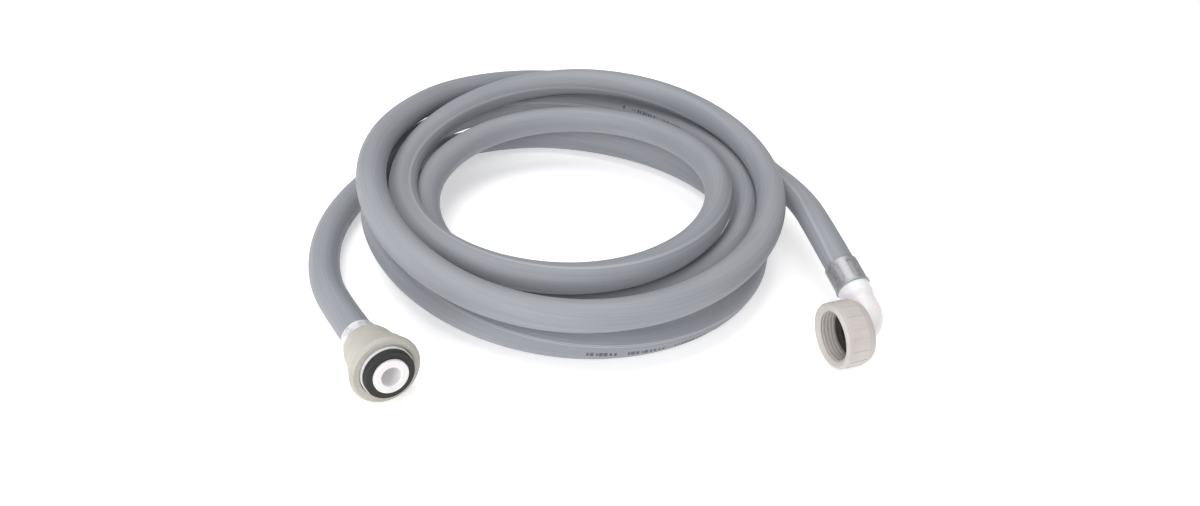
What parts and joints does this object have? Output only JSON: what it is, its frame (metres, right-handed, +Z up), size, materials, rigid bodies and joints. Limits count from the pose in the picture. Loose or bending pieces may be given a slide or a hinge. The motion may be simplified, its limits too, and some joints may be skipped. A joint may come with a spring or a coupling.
{
  "type": "washing machine fill hose",
  "caption": "Coiled reinforced water supply hose with a straight union nut on one end and an elbow with a union nut on the other.",
  "frame": {"origin": "centre of the whole object's footprint, on the surface it lies on", "axes": "+Z up; the straight union nut is at the -X -Y corner and opens towards +X -Y; the elbow's nut is on the +X side and opens towards -X"},
  "size_m": [0.296, 0.2934, 0.056],
  "materials": {
    "hose_cover": "matte, faint lengthwise lines",
    "braid_yarn": "woven polyester yarn",
    "hose_liner": "smooth",
    "crimp_metal": "satin, pressed",
    "white_plastic": "smooth, slightly glossy",
    "washer_rubber": "matte",
    "nut_cream": "smooth, satin",
    "nut_grey": "smooth, satin"
  },
  "bodies": {
    "hose": {"hose_coil": "hose_cover", "straight_tail_cover": "hose_cover", "straight_tail_braid": "braid_yarn", "straight_tail_liner": "hose_liner", "elbow_tail_cover": "hose_cover", "elbow_tail_braid": "braid_yarn", "elbow_tail_liner": "hose_liner", "straight_ferrule": "crimp_metal", "straight_nozzle": "white_plastic", "straight_washer": "washer_rubber", "elbow_ferrule": "crimp_metal", "elbow_spigot": "white_plastic", "elbow_washer": "washer_rubber"},
    "straight_nut": {"straight_nut": "nut_cream"},
    "elbow_nut": {"elbow_nut": "nut_grey"}
  },
  "joints": [
    {"name": "straight_nut_turn", "type": "hinge", "parent": "hose", "child": "straight_nut", "pos_m": [-0.07977, -0.13758, 0.01664], "axis": [0.5915, -0.7907, 0.1582], "continuous": true},
    {"name": "elbow_nut_turn", "type": "hinge", "parent": "hose", "child": "elbow_nut", "pos_m": [0.13204, -0.08132, 0.01743], "axis": [-0.9361, -0.3407, -0.0872], "continuous": true}
  ]
}
